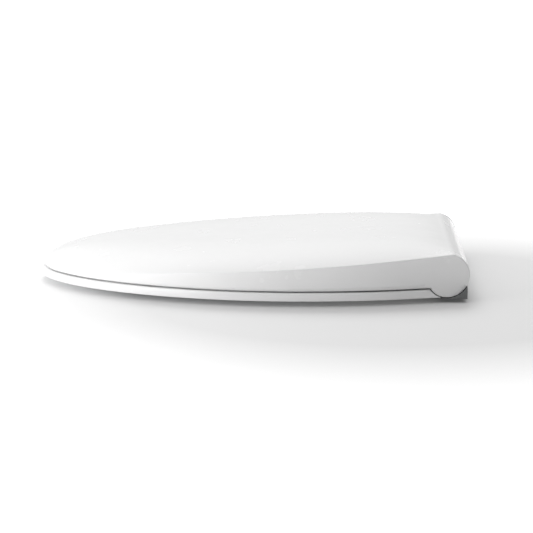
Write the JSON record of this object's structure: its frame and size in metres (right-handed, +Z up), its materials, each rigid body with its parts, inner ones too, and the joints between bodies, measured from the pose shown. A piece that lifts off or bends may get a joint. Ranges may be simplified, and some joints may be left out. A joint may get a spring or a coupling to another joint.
{
  "type": "electric bidet seat",
  "caption": "Slim electric bidet seat with a domed lid on a full-width hinge barrel, a heated ring, wash nozzles, warm air dryer and a base that bolts to a toilet bowl.",
  "frame": {"origin": "midway between the two mounting studs, on the plane of the toilet bowl's rim", "axes": "+Z up, the front of the seat points along -Y, +X is the sitting user's left"},
  "size_m": [0.3775, 0.5275, 0.1055],
  "materials": {
    "white_gloss": "gloss",
    "white_casing": "satin",
    "grey_plastic": "matte",
    "dark_plastic": "matte",
    "natural_plastic": "satin",
    "fan_plastic": "matte",
    "bumper_rubber": "matte",
    "dark_rubber": "matte",
    "steel": "brushed",
    "brass": "satin",
    "heater_foil": "satin",
    "circuit_board": "satin",
    "smoked_window": "gloss"
  },
  "bodies": {
    "base": {"base_lower_casing": "white_casing", "base_upper_cover": "white_casing", "hinge_cradle": "dark_plastic", "inlet_housing": "dark_plastic", "casing_screws": "steel", "hinge_tube": "steel", "lid_damper": "dark_plastic", "seat_damper": "dark_plastic", "water_inlet": "brass", "inlet_strainer": "steel", "supply_pipe": "natural_plastic", "cord_gland": "dark_rubber", "power_cable": "dark_rubber", "solenoid_valve": "natural_plastic", "water_heater": "steel", "diverter_body": "natural_plastic", "diverter_motor": "steel", "nozzle_guide": "grey_plastic", "rear_nozzle_motor": "steel", "front_nozzle_motor": "steel", "blower_housing": "grey_plastic", "blower_motor": "steel", "dryer_duct": "grey_plastic", "dryer_heater": "heater_foil", "deodorizer_housing": "grey_plastic", "control_board": "circuit_board", "power_board": "circuit_board", "receiver_window": "smoked_window", "mounting_plate": "dark_plastic", "mounting_bolts": "steel", "mounting_washers": "steel", "expansion_bushes": "dark_rubber", "cone_nuts": "brass"},
    "seat": {"seat_top_shell": "white_gloss", "seat_bottom_plate": "grey_plastic", "seat_heater": "heater_foil", "seat_arm_left": "white_gloss", "seat_arm_right": "white_gloss", "seat_bumpers": "bumper_rubber", "seat_damper_shaft": "steel"},
    "lid": {"lid_shell": "white_gloss", "lid_end_disc_left": "white_gloss", "lid_end_disc_right": "white_gloss", "lid_bumpers": "bumper_rubber", "lid_damper_sleeve": "steel"},
    "rear_wash_nozzle": {"rear_nozzle": "natural_plastic", "rear_nozzle_tip": "natural_plastic"},
    "front_wash_nozzle": {"front_nozzle": "natural_plastic", "front_nozzle_tip": "natural_plastic"},
    "rear_wash_pinion": {"rear_pinion": "natural_plastic"},
    "front_wash_pinion": {"front_pinion": "natural_plastic"},
    "diverter": {"diverter_rotor": "natural_plastic"},
    "dryer_impeller": {"blower_impeller": "fan_plastic"},
    "outlet_flap": {"dryer_flap": "white_casing"},
    "deodorizer_impeller": {"deodorizer_fan": "fan_plastic"},
    "filter_cartridge": {"carbon_filter": "dark_plastic"},
    "power_key": {"power_button": "grey_plastic"},
    "release_key": {"release_button": "grey_plastic"}
  },
  "joints": [
    {"name": "seat_hinge", "type": "hinge", "parent": "base", "child": "seat", "pos_m": [0, 0.023, 0.028], "axis": [1, 0, 0], "range_deg": [-100, 0]},
    {"name": "lid_hinge", "type": "hinge", "parent": "seat", "child": "lid", "pos_m": [0, 0.023, 0.028], "axis": [-1, 0, 0], "range_deg": [0, 100]},
    {"name": "rear_nozzle_slide", "type": "slide", "parent": "base", "child": "rear_wash_nozzle", "axis": [0, -0.8746, -0.4848], "range_m": [0, 0.066]},
    {"name": "front_nozzle_slide", "type": "slide", "parent": "base", "child": "front_wash_nozzle", "axis": [0, -0.8746, -0.4848], "range_m": [0, 0.066]},
    {"name": "rear_pinion_spin", "type": "hinge", "parent": "base", "child": "rear_wash_pinion", "pos_m": [0.0085, -0.07109, 0.01028], "axis": [-1, 0, 0], "range_deg": [0, 631]},
    {"name": "front_pinion_spin", "type": "hinge", "parent": "base", "child": "front_wash_pinion", "pos_m": [-0.0085, -0.07109, 0.01028], "axis": [-1, 0, 0], "range_deg": [0, 631]},
    {"name": "diverter_turn", "type": "hinge", "parent": "base", "child": "diverter", "pos_m": [0, 0.024, 0.028], "axis": [1, 0, 0], "range_deg": [0, 90]},
    {"name": "dryer_fan_spin", "type": "hinge", "parent": "base", "child": "dryer_impeller", "pos_m": [0.076, -0.034, 0.02], "axis": [0, 0, 1], "continuous": true},
    {"name": "dryer_flap_swing", "type": "hinge", "parent": "base", "child": "outlet_flap", "pos_m": [0.075, -0.0992, -0.003], "axis": [-1, 0, 0], "range_deg": [0, 70]},
    {"name": "deodorizer_fan_spin", "type": "hinge", "parent": "base", "child": "deodorizer_impeller", "pos_m": [-0.073, -0.072, 0.017], "axis": [0, 0, 1], "continuous": true},
    {"name": "filter_pull", "type": "slide", "parent": "base", "child": "filter_cartridge", "axis": [0, -1, 0], "range_m": [0, 0.035]},
    {"name": "power_button_press", "type": "slide", "parent": "base", "child": "power_key", "axis": [0, 0, -1], "range_m": [0, 0.0015], "stiffness_N_per_m": 200},
    {"name": "release_button_press", "type": "slide", "parent": "base", "child": "release_key", "axis": [1, 0, 0], "range_m": [0, 0.003], "stiffness_N_per_m": 400}
  ],
  "couplings": [
    {"joint": "rear_pinion_spin", "follows": "rear_nozzle_slide", "rad_per_m": 166.67},
    {"joint": "front_pinion_spin", "follows": "front_nozzle_slide", "rad_per_m": 166.67}
  ]
}
